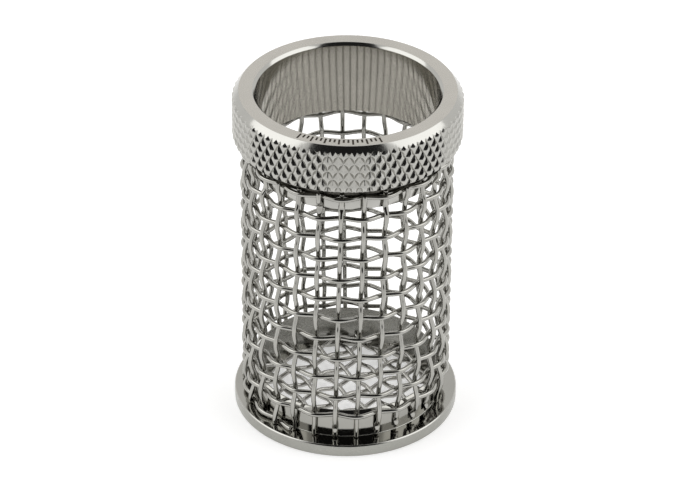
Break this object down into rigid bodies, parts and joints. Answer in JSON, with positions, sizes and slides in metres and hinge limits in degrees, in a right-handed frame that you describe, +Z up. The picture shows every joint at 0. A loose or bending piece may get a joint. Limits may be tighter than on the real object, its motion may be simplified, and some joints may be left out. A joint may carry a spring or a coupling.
{
  "type": "woven wire basket strainer",
  "caption": "Cylindrical basket of woven steel wire with a knurled collar at its open mouth and a mesh-bottomed flanged foot; it holds solids while liquid flows through.",
  "frame": {"origin": "centre of the base, on the underside of the bottom flange", "axes": "+Z up along the basket's axis towards the open collar; the seam of the rolled mesh is at the back left, towards -X +Y"},
  "size_m": [0.0238, 0.0238, 0.0376],
  "materials": {
    "turned_steel": "fine-turned and knurled stainless steel, bright",
    "rim_steel": "fine-turned stainless steel with a polished upper face",
    "hoop_wire": "bright drawn and electropolished stainless wire",
    "upright_wire": "bright drawn and electropolished stainless wire",
    "screen_wire": "bright drawn and electropolished stainless wire",
    "etched_mark": "dark laser-etched graduation ticks"
  },
  "bodies": {
    "root": {"collar": "turned_steel", "bottom_rim": "rim_steel", "hoop_wire_01": "hoop_wire", "hoop_wire_02": "hoop_wire", "hoop_wire_03": "hoop_wire", "hoop_wire_04": "hoop_wire", "hoop_wire_05": "hoop_wire", "hoop_wire_06": "hoop_wire", "hoop_wire_07": "hoop_wire", "hoop_wire_08": "hoop_wire", "hoop_wire_09": "hoop_wire", "hoop_wire_10": "hoop_wire", "hoop_wire_11": "hoop_wire", "hoop_wire_12": "hoop_wire", "hoop_wire_13": "hoop_wire", "upright_wire_01": "upright_wire", "upright_wire_02": "upright_wire", "upright_wire_03": "upright_wire", "upright_wire_04": "upright_wire", "upright_wire_05": "upright_wire", "upright_wire_06": "upright_wire", "upright_wire_07": "upright_wire", "upright_wire_08": "upright_wire", "upright_wire_09": "upright_wire", "upright_wire_10": "upright_wire", "upright_wire_11": "upright_wire", "upright_wire_12": "upright_wire", "upright_wire_13": "upright_wire", "upright_wire_14": "upright_wire", "upright_wire_15": "upright_wire", "upright_wire_16": "upright_wire", "upright_wire_17": "upright_wire", "upright_wire_18": "upright_wire", "upright_wire_19": "upright_wire", "upright_wire_20": "upright_wire", "upright_wire_21": "upright_wire", "upright_wire_22": "upright_wire", "upright_wire_23": "upright_wire", "upright_wire_24": "upright_wire", "upright_wire_25": "upright_wire", "upright_wire_26": "upright_wire", "upright_wire_27": "upright_wire", "upright_wire_28": "upright_wire", "upright_wire_29": "upright_wire", "screen_warp_01": "screen_wire", "screen_warp_02": "screen_wire", "screen_warp_03": "screen_wire", "screen_warp_04": "screen_wire", "screen_warp_05": "screen_wire", "screen_warp_06": "screen_wire", "screen_warp_07": "screen_wire", "screen_warp_08": "screen_wire", "screen_weft_01": "screen_wire", "screen_weft_02": "screen_wire", "screen_weft_03": "screen_wire", "screen_weft_04": "screen_wire", "screen_weft_05": "screen_wire", "screen_weft_06": "screen_wire", "screen_weft_07": "screen_wire", "screen_weft_08": "screen_wire"}
  },
  "joints": []
}
